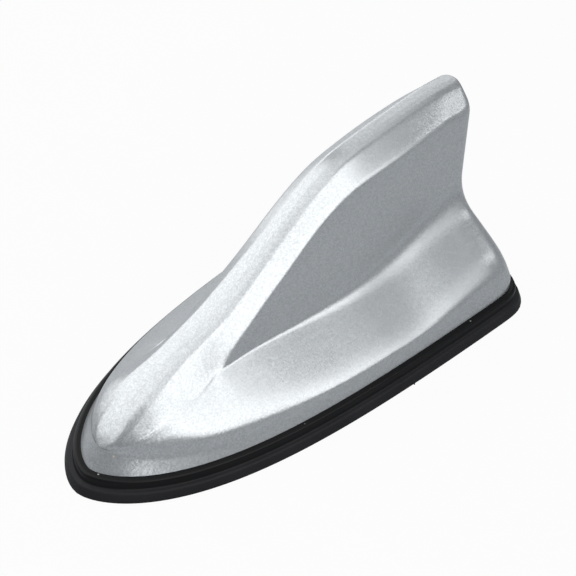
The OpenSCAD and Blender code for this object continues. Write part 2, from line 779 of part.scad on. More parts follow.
// Plastic carrier: a foot on the base plate, an upright web and an arm that fills the folded plate
coil_room = 2.2;
arm_x = coil_x + coil_r + wire_d / 2 + coil_room;
carrier_low = plate_top + carrier_boss_h;
module element_carrier() {
    arm_end = top_x - 1;
    arm_low = top_z - skirt_h + 1;
    web_front = carrier_x + 2;
    web_back = carrier_x + foot_l - 2;
    seat = fold(sheet_t);
    color("#e3e1da") {
        difference() {
            union() {
                translate([carrier_x, -foot_w / 2, carrier_low])
                    cube([foot_l, foot_w, foot_t]);
                translate([0, web_t / 2, 0])
                    rotate([90, 0, 0])
                        linear_extrude(web_t)
                            polygon([
                                [web_front, carrier_low + foot_t],
                                [web_back, carrier_low + foot_t],
                                [web_back - 3, arm_low - 6],
                                [arm_end, arm_low],
                                [arm_end, top_z - sheet_t],
                                [arm_x, top_z - sheet_t],
                                [arm_x, arm_low],
                                [web_front + 3, arm_low - 10]
                            ]);
                for (x = [arm_x : 8 : arm_end - 2])
                    translate([x, 0, top_z])
                        rotate([90, 0, 90])
                            linear_extrude(1.6)
                                polygon([
                                    [seat[0].x, seat[0].y + 3], seat[1], seat[2], seat[3], seat[4],
                                    [seat[5].x, seat[5].y + 3]
                                ]);
                for (side = [-1, 1])
                    scale_side(side)
                        translate([(web_front + web_back) / 2 - web_t / 2, 0, carrier_low + foot_t])
                            rotate([90, 0, 90])
                                linear_extrude(web_t)
                                    polygon([[0, 0], [foot_w / 2 - 3, 0], [web_t / 2 + 0.6, 20], [0, 20]]);
            }
            for (p = carrier_spots)
                translate([p.x, p.y, carrier_low - 1])
                    cylinder(h = foot_t + 2, r = board_hole_r);
            for (z = [carrier_low + foot_t + 26])
                translate([(web_front + web_back) / 2, 0, z])
                    rotate([90, 0, 0])
                        cylinder(h = web_t + 2, r = 4, center = true);
        }
    }
}
module carrier_screws() {
    color("#b9bdc1")
        for (p = carrier_spots)
            translate([p.x, p.y, carrier_low + foot_t])
                cross_screw(board_screw_d, carrier_screw_l, 2.2, 1.4);
}

// Coil wound from one wire: a straight lead from the board, the turns, and a lead up to the eyelet
coil_low = board_top + 6;
lead_steps = 3;
turn_steps = 10;
coil_steps = coil_turns * turn_steps;
function coil_point(k) =
    let (
        u = k / coil_steps,
        swell = min(1, 2.2 * min(u, 1 - u) * coil_turns),
        r = coil_r * swell
    )
    [r * cos(360 * coil_turns * u), r * sin(360 * coil_turns * u), coil_low + coil_h * u];
coil_line = concat(
    [for (k = [0 : lead_steps - 1]) [0, 0, board_top + (coil_low - board_top) * k / lead_steps]],
    [for (k = [0 : coil_steps]) coil_point(k)],
    [for (k = [1 : lead_steps]) [0, 0, coil_low + coil_h + (top_z + 0.5 - coil_low - coil_h) * k / lead_steps]]
);
function unit(a) = a / norm(a);
module radio_coil() {
    sides = 6;
    n = len(coil_line);
    function phase(k) = 360 * coil_turns * min(1, max(0, (k - lead_steps) / coil_steps));
    function ahead(k) = unit(coil_line[min(k + 1, n - 1)] - coil_line[max(k - 1, 0)]);
    function ring(k) =
        let (
            t = ahead(k),
            out = [cos(phase(k)), sin(phase(k)), 0],
            u = unit(out - (out * t) * t),
            w = cross(t, u)
        )
        [for (a = [0 : sides - 1])
            coil_line[k] + wire_d / 2 * (cos(360 * a / sides) * u + sin(360 * a / sides) * w)];
    color("#b87333")
        translate([coil_x, 0, 0])
            polyhedron(
                [for (k = [0 : n - 1]) each ring(k)],
                concat(
                    [for (k = [0 : n - 2], a = [0 : sides - 1])
                        let (b = (a + 1) % sides) [k * sides + a, (k + 1) * sides + a, (k + 1) * sides + b, k * sides + b]],
                    [[for (a = [0 : sides - 1]) a]],
                    [[for (a = [sides - 1 : -1 : 0]) (n - 1) * sides + a]]
                ),
                convexity = 10
            );
}

// Eyelet riveted in the top plate, which grips the end of the coil's wire
module coil_eyelet() {
    flange_r = eyelet_r + 0.8;
    bore_r = wire_d / 2 + screw_gap;
    color("#d6c27a")
        translate([coil_x, 0, top_z])
            rotate_extrude()
                polygon([
                    [bore_r, -sheet_t - 0.5], [flange_r, -sheet_t - 0.5], [flange_r, -sheet_t],
                    [eyelet_r - 0.05, -sheet_t], [eyelet_r - 0.05, 0], [flange_r, 0], [flange_r, 0.5], [bore_r, 0.5]
                ]);
}

fin_cover();
roof_gasket();
base_plate();
adhesive_pad();
cover_screws();
cable_grommet();
circuit_board();
board_screws();
shield_can();
amplifier_chip();
chip_capacitors();
chip_resistors();
wound_inductors();
smoothing_capacitor();
lead_header();
header_pins();
element_carrier();
carrier_screws();
radio_coil();
coil_eyelet();
top_plate();
foam_strip();
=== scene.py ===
"""Shark fin aerial: its painted cover, its rubber gasket and the finishes of the parts inside."""

import math

import bmesh
import bpy
from bpy.props import FloatProperty, FloatVectorProperty, PointerProperty
from mathutils import Matrix, Vector


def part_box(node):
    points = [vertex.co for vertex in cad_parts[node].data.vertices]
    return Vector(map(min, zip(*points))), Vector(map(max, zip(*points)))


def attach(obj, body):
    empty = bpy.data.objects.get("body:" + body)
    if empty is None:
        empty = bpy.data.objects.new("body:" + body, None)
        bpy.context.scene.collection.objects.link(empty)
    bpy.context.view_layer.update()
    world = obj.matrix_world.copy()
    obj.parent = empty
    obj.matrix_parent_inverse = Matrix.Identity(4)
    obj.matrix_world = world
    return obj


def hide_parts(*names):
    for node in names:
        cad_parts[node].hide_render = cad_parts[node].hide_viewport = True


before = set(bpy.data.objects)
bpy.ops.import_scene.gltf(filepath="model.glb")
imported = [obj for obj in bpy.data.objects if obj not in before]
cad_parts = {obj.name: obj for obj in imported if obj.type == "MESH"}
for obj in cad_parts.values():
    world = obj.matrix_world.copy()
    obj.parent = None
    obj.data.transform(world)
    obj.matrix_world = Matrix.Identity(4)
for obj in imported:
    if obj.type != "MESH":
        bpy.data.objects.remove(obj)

bl_info = {
    "name": "Shark fin aerial",
    "version": (1, 0, 0),
    "blender": (4, 5, 0),
    "location": "3D View > Sidebar > Aerial",
    "description": "Models the painted cover and the gasket of a roof aerial, and finishes its parts",
    "category": "Object",
}

MM = 0.001
COVER_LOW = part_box("fin_cover")[0]
GASKET_LOW, GASKET_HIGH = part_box("roof_gasket")
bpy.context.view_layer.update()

# Form of the cover: each row is a share of the way from the nose to the tail and a value there,
# which is a share of a size in the settings, or for reaches and the fillet a length in millimetres
RIDGE_RISE = [
    [0, 0.009], [0.006, 0.027], [0.015, 0.052], [0.03, 0.088], [0.06, 0.15], [0.11, 0.23],
    [0.2, 0.318], [0.317, 0.43], [0.441, 0.62],
    [0.564, 0.829], [0.647, 0.929], [0.72, 0.964], [0.935, 1], [1, 0.991],
]
RIDGE_SPREAD = [
    [0, 0.2], [0.006, 0.82], [0.015, 1.3], [0.03, 1.55], [0.06, 1.62], [0.11, 1.63], [0.2, 1.42],
    [0.28, 1.48], [0.4, 1.2], [0.5, 0.95], [0.7, 0.93], [1, 1],
]
RIDGE_REACH = [[0, 2.5], [0.11, 1.6], [0.25, 1.5], [1, 1.4]]
CHAMFER_DROP = [
    [0, 0.03], [0.006, 0.1], [0.015, 0.2], [0.03, 0.32], [0.05, 0.43], [0.11, 0.72],
    [0.194, 1.2], [0.262, 1.33], [0.358, 1.02], [0.5, 1], [1, 1],
]
CHAMFER_REACH = [[0, 4], [0.15, 3], [0.262, 1.7], [1, 1.5]]
FIN_SPREAD = [
    [0, 0.094], [0.006, 0.31], [0.015, 0.52], [0.03, 0.77], [0.05, 0.97], [0.11, 1.25], [0.194, 1.19],
    [0.262, 1.09], [0.358, 1.05], [0.441, 0.98], [0.6, 0.94], [0.82, 1.05], [1, 0.99],
]
FOOT_RISE = [
    [0.262, 0.981], [0.358, 1.01], [0.523, 0.985], [0.647, 0.99], [0.77, 1.05], [0.88, 1.2], [1, 1.335],
]
FOOT_SPREAD = [
    [0.262, 0.776], [0.358, 0.785], [0.523, 0.92], [0.647, 1], [0.77, 0.965], [0.88, 0.89], [1, 0.835],
]
FOOT_FILLET = [[0.262, 0.5], [0.5, 1.6], [0.75, 5], [1, 8]]
SLOPE_STEEP = [[0.262, 1.1], [0.3, 1.05], [0.36, 1.015], [0.42, 1], [1, 1]]
FOOT_START = 0.262

# Rails, in order: rim, band, shoulder, foot of the fin, its edge, edge of the ridge, crown.
# For each, in millimetres: its stop short of the tail, the reach of its corner and its fall there
RAIL_TAIL = [0, 0.5, 1.5, 4.2, -1.8, -1.2, -1.2]
RAIL_CORNER = [16, 11.5, 13.3, 5.6, 8, 3, 3]
RAIL_FALL = [0, 0, 0, 0, 2, 1.4, 1.4]
FALL_POWER = 2.5
RAIL_COUNT = len(RAIL_TAIL)

# Shares of the wall by which each rail of the inner skin lies further in and lower
RAIL_IN = [1, 1, 0.83, 1, 1, 0.45, 0]
RAIL_DOWN = [0, 0, 0.64, 0.52, 0.55, 1.18, 1.18]

# Shoulder: lean of its wall, slope up to the fin's foot and its arch ahead of that foot
SHOULDER_LEAN = 0.364
SHOULDER_RISE = 0.7
ARCH_SHARE = 0.319
ARCH_GAIN = 0.25

# Crease that the fin's foot leaves ahead of the fin, under its edge, and that widens to the nose
CREASE_OUT = MM
CREASE_SHARE = 0.3
CREASE_POWER = 0.8

# Nose, band, tail corner and crown
NOSE_LEAN = 4.2 * MM
NOSE_RUN = 46.8 * MM
PLAN_POWER = 0.62
BAND_NOSE_HEIGHT = 5.8 * MM
BAND_POWER = 5
CORNER_POWER = 4
RIDGE_CROWN = 0.25 * MM
CROWN_START = 0.4
CROWN_GAIN = 12

# Rounding of a section's corners in millimetres, and the most of a run that one corner may take
BAND_REACH = 1.6
SHOULDER_REACH = 7
TIP_REACH = 3
BEND_SHARE = 0.45

# Fineness: stations, steps round each corner, along each run and round a boss, and for the inner skin
BODY_STEPS = 72
TAIL_STEPS = 22
STATION_POWER = 1.6
CORNER_STEPS = [4, 10, 8, 5, 5]
RUN_STEPS = [1, 2, 5, 5, 3, 3]
INNER_FINENESS = 0.4
INNER_STRIDE = 2
TURN_STEPS = 32

# Distances within which points are welded, seams are closed and slivers are taken out
WELD = 0.01 * MM
SEAM = 0.004 * MM
SLIVER = 0.002 * MM

# Screw bosses inside the cover: the nose boss, then shares of the way for those in pairs
BOSS_BACK = 16 * MM
BOSS_SHARES = [0.42, 0.9]
BOSS_IN = 9.4 * MM
BOSS_FROM, BOSS_TO = 5.4 * MM, 14.5 * MM
BOSS_RADIUS = 3.15 * MM
BOSS_EASE = 0.3 * MM
BORE_RADIUS = 1.5 * MM
BORE_TO = 13.7 * MM
RIB = 1.4 * MM
RIB_FROM, RIB_TO = 8.4 * MM, 13.9 * MM
RIB_START = 2.75 * MM
RIB_SHORT = 0.2 * MM
KEEL_SHARES = (0.067, 0.204)

# Gasket: its lips, the groove for the base plate's edge and the channel in its underside
NOSE_LIP = 5.6 * MM
TAIL_LIP = 2.7 * MM
UPPER_LIP_IN = 2.3 * MM
LOWER_LIP_IN = 4 * MM
GROOVE_IN = 0.65 * MM
GROOVE_LOW, GROOVE_HIGH = 2.6 * MM, 5.4 * MM
CHANNEL_HIGH = 0.9 * MM

# Small marks, each with its place and reach: dust on the gasket and a scratch on the nose
GASKET_FLECKS = [
    ((51.9 * MM, -36.9 * MM, 6.2 * MM), 0.38 * MM),
    ((-76.6 * MM, -3.4 * MM, 6.2 * MM), 0.42 * MM),
    ((-18.45 * MM, -31.95 * MM, 6.2 * MM), 0.26 * MM),
]
COVER_FLECK = ((-71.6 * MM, -4.9 * MM, 11.1 * MM), 0.55 * MM)

# Shares of its reach at which a fleck starts to fade and is gone
FLECK_EDGE = (0.9, 1.25)

# Nib that the mould left at the edge of the gasket
NIB_SHARE = 0.693
NIB_RADIUS = 0.5 * MM
NIB_TIP_RADIUS = 0.15 * MM
NIB_LENGTH = 1.2 * MM
NIB_OUT = 0.12 * MM
NIB_HEIGHT = 0.55 * MM
NIB_SIDES = 12

# Middle span of a noise and full span of a mask
NOISE_SPAN = (0.3, 0.7)
MASK_SPAN = (0.0, 1.0)

# Paint: its roughness, the finer grain among the flakes and the colour of the scratch
PAINT_ROUGHNESS = (0.28, 0.31)
FLAKE_SCALE = 0.9
FLAKE_SHARE = 0.8
FLAKE_MIDDLE = 0.9
FLAKE_CENTRE = (0.5, 0.5, 0.5)
SCRATCH_COLOUR = (0.7, 0.62, 0.48, 1.0)

# Rubber: the step from its lower to its upper tier, the lower tier's colour painted lighter as a painted
# sheen and the upper tier's painted darker as painted shade, its bloom and its dust
TIER_BLEND = 0.3 * MM
# lower tier, upper tier: painted sheen and painted shade scaled into the rubber's colour
TIER_PAINTED_LIGHT = (2.4, 0.7)
TIER_ROUGHNESS = (0.52, 0.3)
BLOOM_SHADES = (0.85, 1.25)
SPECK_EDGE = (0.035, 0.06)
SPECK_SPREAD = (0.56, 0.6)
DUST_ROUGHNESS = 0.4
DUST_COLOUR = (0.3, 0.3, 0.29, 1.0)

# Plastic, drawn metal with its tarnish, and foam whose cells are painted darker in their pits as painted
# shade
PLASTIC_SHADES = (0.93, 1.07)
PLASTIC_SPAN = (0.2, 0.8)
PLASTIC_UNEVEN = (-0.06, 0.06)
STREAK_SCALE = (60.0, 1400.0, 1400.0)
STREAK_ROUGHNESS = 0.16
TARNISH_SPREAD = (0.45, 0.7)
TARNISH_SHADE = 0.62
TARNISH_ROUGHNESS = 0.15
FOAM_SPAN = (0.1, 0.7)
# painted shade in the foam's pits, lighter on the cell walls
FOAM_PAINTED_SHADE = (0.55, 1.15)
FOAM_DEPTH = (0.0, 0.7)
FOAM_ROUGHNESS = (0.95, 0.8)

# Board: copper areas under the solder mask, tinned vias and the weave of the cloth
COPPER_SCALE = (150.0, 190.0, 0.0)
COPPER_EDGE = (0.05, 0.07)
MASK_ROUGHNESS = (0.3, 0.38)
WEAVE_HEIGHT = 0.15
SOLDER_COLOUR = (0.55, 0.56, 0.54, 1.0)

# Kinds of the sockets that aren't plain numbers
SOCKET_KINDS = {
    "Vector": "NodeSocketVector", "Normal": "NodeSocketVector",
    "Colour": "NodeSocketColor", "Shade": "NodeSocketColor",
}

# Floor and air: their shades, how bright each is seen straight on and mirrored, and their tints
WHITE = (1.0, 1.0, 1.0, 1.0)
FLOOR_SIZE = 3.0
FLOOR_SQUARES = 8
FLOOR_GRAIN = 30.0
FLOOR_SHADES = (0.38, 0.42)
FLOOR_CLEAR = 0.95
FLOOR_MIRRORED = 0.25
FLOOR_TINT = (0.84, 0.92, 1.0, 1.0)
AIR_MIRRORED = 0.42
AIR_TINT = (0.92, 0.96, 1.0, 1.0)

# Camera: sensor in millimetres, side of the picture and shift in pixels, height that it looks at
SENSOR = 36.0
PICTURE = 576
SHIFT_RIGHT, SHIFT_UP = 15.4, 11
AIM_HEIGHT = 25 * MM
CLIP_END = 20.0

# Soft boxes, in metres: centre, way that each faces, width and height, share of the key radiance
NEAR, FAR, OVERHEAD = -0.23, 0.25, 0.57
TO_FAR, TO_NEAR, DOWN = (0, 1, 0), (0, -1, 0), (0, 0, -1)
SOFT_BOXES = {
    "near_box": ((-0.055, NEAR, 0.29), TO_FAR, (0.46, 0.4), 1.15),
    "near_strip": ((0.345, NEAR, 0.225), TO_FAR, (0.16, 0.07), 1.45),
    "nose_box": ((-0.42, NEAR, 0.48), TO_FAR, (0.24, 0.26), 0.6),
    "far_box": ((-0.14, FAR, 0.36), TO_NEAR, (0.44, 0.44), 0.95),
    "far_left_box": ((-0.46, FAR, 0.42), TO_NEAR, (0.2, 0.34), 0.85),
    "far_low_box": ((0.07, FAR, 0.08), TO_NEAR, (0.4, 0.12), 0.85),
    "rear_box": ((0.37, FAR, 0.3), TO_NEAR, (0.42, 0.5), 0.42),
    "top_box": ((-0.16, 0, OVERHEAD), DOWN, (0.42, 0.46), 0.65),
    "top_rear_box": ((0.2, 0.06, OVERHEAD), DOWN, (0.3, 0.36), 0.4),
}


class CoverSettings(bpy.types.PropertyGroup):
    """Sizes and paint of the cover."""

    length: FloatProperty(
        name="Length", description="Length of the cover at its rim",
        default=GASKET_HIGH.x - GASKET_LOW.x - NOSE_LIP - TAIL_LIP, min=0.1, unit="LENGTH",
    )
    width: FloatProperty(
        name="Width", description="Width that the rim of the cover nears towards the tail",
        default=74 * MM, min=0.05, unit="LENGTH",
    )
    fin_height: FloatProperty(
        name="Fin height", description="Height of the ridge above the rim",
        default=61.8 * MM, min=0.03, unit="LENGTH",
    )
    wall: FloatProperty(
        name="Wall", description="Thickness of the moulded wall",
        default=2.2 * MM, min=0.001, unit="LENGTH",
    )
    fin_width: FloatProperty(
        name="Fin width", description="Width of the fin across the lower edges of its chamfers",
        default=19.2 * MM, min=0.01, unit="LENGTH",
    )
    ridge_width: FloatProperty(
        name="Ridge width", description="Width of the flat band along the ridge",
        default=6.6 * MM, min=0.002, unit="LENGTH",
    )
    chamfer_height: FloatProperty(
        name="Chamfer height", description="Height of the chamfer beside the ridge",
        default=6.3 * MM, min=0.002, unit="LENGTH",
    )
    foot_height: FloatProperty(
        name="Foot height", description="Height above the rim at which the fin meets the body",
        default=18.2 * MM, min=0.01, unit="LENGTH",
    )
    foot_out: FloatProperty(
        name="Foot distance", description="Distance of the fin's foot from the middle",
        default=14.5 * MM, min=0.01, unit="LENGTH",
    )
    band_height: FloatProperty(
        name="Band height", description="Height of the upright band above the rim",
        default=2.3 * MM, min=0.001, unit="LENGTH",
    )
    band_lean: FloatProperty(
        name="Band lean", description="Distance that the band leans in over its height",
        default=0.8 * MM, min=0.0, unit="LENGTH",
    )
    paint: FloatVectorProperty(
        name="Paint", description="Colour of the silver paint",
        default=(0.42, 0.435, 0.445), min=0.0, max=1.0, subtype="COLOR",
    )
    flake: FloatProperty(
        name="Flake", description="Size of the grain that the flakes in the paint show",
        default=0.42 * MM, min=0.0001, unit="LENGTH",
    )


class GasketSettings(bpy.types.PropertyGroup):
    """Sizes and rubber of the gasket."""

    side: FloatProperty(
        name="Side lip", description="Width of the lip beside the cover",
        default=4.6 * MM, min=0.001, unit="LENGTH",
    )
    nose: FloatProperty(
        name="Nose lip", description="Width of the lip at the nose",
        default=NOSE_LIP, min=0.001, unit="LENGTH",
    )
    tail: FloatProperty(
        name="Tail lip", description="Width of the lip at the tail",
        default=TAIL_LIP, min=0.001, unit="LENGTH",
    )
    step: FloatProperty(
        name="Step height", description="Height of the lower tier",
        default=3.1 * MM, min=0.001, unit="LENGTH",
    )
    rubber: FloatVectorProperty(
        name="Rubber", description="Colour of the rubber",
        default=(0.0045, 0.0045, 0.005), min=0.0, max=1.0, subtype="COLOR",
    )


class StageSettings(bpy.types.PropertyGroup):
    """Light, floor and camera."""

    focal: FloatProperty(
        name="Focal length", description="Focal length of the camera in millimetres",
        default=146.1, min=20.0,
    )
    azimuth: FloatProperty(
        name="Azimuth", description="Direction of the camera around the aerial",
        default=math.radians(-45.59), subtype="ANGLE",
    )
    elevation: FloatProperty(
        name="Elevation", description="Height of the camera above the roof, as an angle",
        default=math.radians(41.27), subtype="ANGLE",
    )
    roll: FloatProperty(
        name="Roll", description="Tilt of the camera to one side",
        default=math.radians(0.22), subtype="ANGLE",
    )
    distance: FloatProperty(
        name="Distance", description="Distance of the camera from the point that it looks at",
        default=0.7194, min=0.1, unit="LENGTH",
    )
    key_light: FloatProperty(
        name="Key light", description="Radiance that the soft boxes have a share of",
        default=2.0, min=0.0,
    )
    fill_light: FloatProperty(
        name="Fill light", description="Strength of the light from all round",
        default=0.35, min=0.0,
    )


def curve(table, share):
    """Smooth reading of a table at a share of the way."""
    last = len(table) - 1
    k = 0
    while k < last - 1 and share >= table[k + 1][0]:
        k += 1
    run = table[k + 1][0] - table[k][0]
    slopes = []
    for j in (k, k + 1):
        low = table[max(j - 1, 0)]
        high = table[min(j + 1, last)]
        slopes.append(run * (high[1] - low[1]) / (high[0] - low[0]))
    t = (share - table[k][0]) / run
    a = table[k][1]
    b = table[k + 1][1]
    da, db = slopes
    return a + t * (da + t * (3 * (b - a) - 2 * da - db + t * (2 * (a - b) + da + db)))


def smooth_step(share):
    """A share from 0 to 1 that starts and ends level."""
    return share * share * (3 - 2 * share)


class CoverForm:
    """The rails of the cover, from which its sections and the gasket's outline are read."""

    def __init__(self, sizes):
        self.sizes = sizes
        self.nose = COVER_LOW.x
        self.tail = self.nose + sizes.length
        self.rim = GASKET_HIGH.z
        body = [((k / BODY_STEPS) ** STATION_POWER, 1.0) for k in range(BODY_STEPS + 1)]
        turns = [smooth_step(k / TAIL_STEPS) * math.pi / 2 for k in range(1, TAIL_STEPS + 1)]
        self.stations = body + [(1.0, math.sqrt(max(0.0, math.cos(turn)))) for turn in turns]
        self.rim_line = [self.rim_point(*station) for station in self.stations]
        last = len(self.stations) - 1
        self.outward = []
        for k in range(last + 1):
            if k in (0, last):
                self.outward.append(Vector((-1 if k == 0 else 1, 0)))
            else:
                along = self.rim_line[k + 1] - self.rim_line[k - 1]
                self.outward.append(Vector((-along.y, along.x)).normalized())

    def half_plan(self, share):
        """Half the width of the rim."""
        full = 1 - math.exp(-self.sizes.length * share / NOSE_RUN)
        return self.sizes.width / 2 * full ** PLAN_POWER

    def ridge_height(self, share):
        """Height of the ridge above the rim."""
        rise = self.sizes.fin_height - BAND_NOSE_HEIGHT
        return BAND_NOSE_HEIGHT + rise * curve(RIDGE_RISE, share)

    def rail_x(self, rail, share, sweep):
        """Place of a rail along the cover; the sweep falls from 1 to 0 round the tail."""
        front = self.nose + (NOSE_LEAN if rail else 0)
        back = self.tail - (RAIL_TAIL[rail] + RAIL_CORNER[rail]) * MM
        corner = RAIL_CORNER[rail] * MM * (1 - sweep ** CORNER_POWER) ** (1 / CORNER_POWER)
        return front + share * (back - front) + corner

    def rim_point(self, share, sweep):
        """Point of the rim in plan."""
        return Vector((self.rail_x(0, share, sweep), self.half_plan(share) * sweep))

    def half_section(self, share):
        """Distance from the middle and height above the rim of each rail."""
        s = self.sizes
        y = self.half_plan(share)
        top = self.ridge_height(share)
        band = Vector((
            y * (1 - 2 * s.band_lean / s.width),
            s.band_height + (BAND_NOSE_HEIGHT - s.band_height) * (1 - share) ** BAND_POWER,
        ))
        edge = Vector((
            s.fin_width / 2 * curve(FIN_SPREAD, share),
            top - s.chamfer_height * curve(CHAMFER_DROP, share),
        ))
        flank = Vector((s.foot_out * curve(FOOT_SPREAD, share), s.foot_height * curve(FOOT_RISE, share)))
        arched = (edge.y - band.y) * (ARCH_SHARE + ARCH_GAIN * (1 - share / FOOT_START))
        slope = SHOULDER_RISE * curve(SLOPE_STEEP, share)
        sloped = (flank.y - band.y - slope * (band.x - flank.x)) / (1 - SHOULDER_LEAN * slope)
        ahead = share < FOOT_START
        turn = band + (arched if ahead else sloped) * Vector((-SHOULDER_LEAN, 1))
        if ahead:
            run = turn - edge
            near = CREASE_OUT / run.length
            wider = max(0, CREASE_SHARE - near) * (1 - share / FOOT_START) ** CREASE_POWER
            flank = edge + run * (near + wider)
        ridge = Vector((s.ridge_width / 2 * curve(RIDGE_SPREAD, share), top))
        crown = Vector((0, top + RIDGE_CROWN * min(1, CROWN_START + CROWN_GAIN * share)))
        return [Vector((y, 0)), band, turn, flank, edge, ridge, crown]

    def rails(self, k, inset):
        """Points of the rails at a station, on a skin set in from the outer one."""
        share, sweep = self.stations[k]
        out = self.outward[k]
        half = self.half_section(share)
        points = []
        for j in range(RAIL_COUNT):
            fall = RAIL_FALL[j] * MM * (1 - sweep) ** FALL_POWER
            points.append(Vector((
                self.rail_x(j, share, sweep) - out.x * inset,
                max(0, half[j].x * sweep - out.y * inset * RAIL_IN[j]),
                self.rim + half[j].y - fall - RAIL_DOWN[j] * inset,
            )))
        return points

    def section(self, k, inset, fineness):
        """The half outline of a skin at a station, from the rim up to the crown."""
        points = self.rails(k, inset)
        share, sweep = self.stations[k]
        wider = TIP_REACH * math.sqrt(1 - sweep)
        reaches = [
            BAND_REACH, SHOULDER_REACH, curve(FOOT_FILLET, max(share, FOOT_START)),
            curve(CHAMFER_REACH, share) + wider, curve(RIDGE_REACH, share) + wider,
        ]
        line = [points[0]]
        for j, reach in enumerate(reaches):
            corner = bend(*points[j:j + 3], reach * MM, CORNER_STEPS[j] * fineness)
            line += between(line[-1], corner[0], RUN_STEPS[j] * fineness) + corner
        return line + between(line[-1], points[-1], RUN_STEPS[-1] * fineness) + [points[-1]]


def bend(a, b, c, reach, steps):
    """A rounded corner at b, on the way from a to c."""
    back = a - b
    on = c - b
    start = b + back * min(BEND_SHARE, reach / max(back.length, WELD))
    end = b + on * min(BEND_SHARE, reach / max(on.length, WELD))
    steps = max(2, round(steps))
    line = []
    for k in range(steps + 1):
        t = k / steps
        line.append((1 - t) * (1 - t) * start + 2 * t * (1 - t) * b + t * t * end)
    return line


def between(a, b, count):
    """Points that divide a straight run evenly, without its ends."""
    count = round(count)
    return [a.lerp(b, k / (count + 1)) for k in range(1, count + 1)]


def chain(bm, points, closed=False):
    """Edges through a row of points."""
    verts = [bm.verts.new(point) for point in points]
    pairs = list(zip(verts, verts[1:]))
    if closed:
        pairs.append((verts[-1], verts[0]))
    return [bm.edges.new(pair) for pair in pairs]


def loft(bm, lines, closed=False):
    """Faces that join each row of points to the next."""
    before = None
    for points in lines:
        edges = chain(bm, points, closed)
        if before:
            bmesh.ops.bridge_loops(bm, edges=before + edges)
        before = edges


def finished(bm, name, material, smooth_to=38):
    """Closes the seams of a piece, gives it its finish and adds it to the aerial."""
    bmesh.ops.remove_doubles(bm, verts=bm.verts[:], dist=SEAM)
    bmesh.ops.dissolve_degenerate(bm, edges=bm.edges[:], dist=SLIVER)
    bmesh.ops.recalc_face_normals(bm, faces=bm.faces[:])
    for face in bm.faces:
        face.smooth = True
    for edge in bm.edges:
        edge.smooth = edge.is_manifold and edge.calc_face_angle(0) < math.radians(smooth_to)
    mesh = bpy.data.meshes.new(name)
    bm.to_mesh(mesh)
    bm.free()
    piece = bpy.data.objects.new(name, mesh)
    bpy.context.scene.collection.objects.link(piece)
    mesh.materials.append(material)
    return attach(piece, "root")


def turned(bm, profile, centre):
    """A solid turned about an upright axis from rows of distance and height."""
    points = [Vector((centre[0] + r, centre[1], z)) for r, z in profile]
    edges = chain(bm, points)
    verts = list({vert for edge in edges for vert in edge.verts})
    bmesh.ops.spin(
        bm, geom=verts + edges, cent=(centre[0], centre[1], 0), axis=(0, 0, 1),
        angle=math.tau, steps=TURN_STEPS, use_merge=True,
    )


def panel(bm, outline, push):
    """A flat panel pushed out to a thickness, evenly to both sides."""
    verts = [bm.verts.new(Vector(point) - Vector(push) / 2) for point in outline]
    face = bm.faces.new(verts)
    grown = bmesh.ops.extrude_face_region(bm, geom=[face])
    moved = [item for item in grown["geom"] if isinstance(item, bmesh.types.BMVert)]
    bmesh.ops.translate(bm, verts=moved, vec=push)


def feed(tree, socket, value):
    """Links a value to a socket, or sets it there."""
    if isinstance(value, bpy.types.NodeSocket):
        tree.links.new(value, socket)
    else:
        socket.default_value = value


def node(tree, kind, values=None, **settings):
    """A shader node with its sockets set or linked."""
    made = tree.nodes.new(kind)
    for name, value in settings.items():
        setattr(made, name, value)
    for name, value in (values or {}).items():
        feed(tree, made.inputs[name], value)
    return made


def arithmetic(tree, operation, *values):
    """The result of a sum on numbers."""
    return node(tree, "ShaderNodeMath", dict(enumerate(values)), operation=operation).outputs[0]


def vector_sum(tree, operation, *values):
    """The vector that a sum on vectors gives."""
    return node(tree, "ShaderNodeVectorMath", dict(enumerate(values)), operation=operation).outputs[0]


def scaled(tree, colour, factor):
    """A colour or vector made larger or smaller."""
    return node(tree, "ShaderNodeVectorMath", {0: colour, 3: factor}, operation="SCALE").outputs[0]


def remap(tree, value, low, high, to_low, to_high):
    """A value read from one span onto another, and held within it."""
    made = node(tree, "ShaderNodeMapRange", {
        "Value": value, "From Min": low, "From Max": high, "To Min": to_low, "To Max": to_high,
    })
    return made.outputs["Result"]


def blended(tree, factor, first, second):
    """A blend of two colours."""
    made = node(tree, "ShaderNodeMix", {0: factor, 6: first, 7: second}, data_type="RGBA")
    return made.outputs[2]


def noise(tree, vector, scale, detail):
    """A soft uneven grain."""
    made = node(tree, "ShaderNodeTexNoise", {"Vector": vector, "Scale": scale, "Detail": detail})
    return made.outputs["Fac"]


def effect(name, inputs, outputs):
    """A shader node group with named inputs and outputs."""
    group = bpy.data.node_groups.new(name, "ShaderNodeTree")
    for way, labels in (("INPUT", inputs), ("OUTPUT", outputs)):
        for label in labels:
            kind = SOCKET_KINDS.get(label, "NodeSocketFloat")
            group.interface.new_socket(name=label, in_out=way, socket_type=kind)
    given = group.nodes.new("NodeGroupInput")
    result = group.nodes.new("NodeGroupOutput")
    return group, given.outputs, result.inputs


def fleck(tree, vector, grain, place, reach):
    """Mask of a small ragged fleck at a place."""
    away = node(tree, "ShaderNodeVectorMath", {0: vector, 1: place}, operation="DISTANCE")
    ragged = arithmetic(tree, "MULTIPLY_ADD", grain, reach, away.outputs["Value"])
    solid, clear = FLECK_EDGE
    return remap(tree, ragged, solid * reach, clear * reach, 1.0, 0.0)


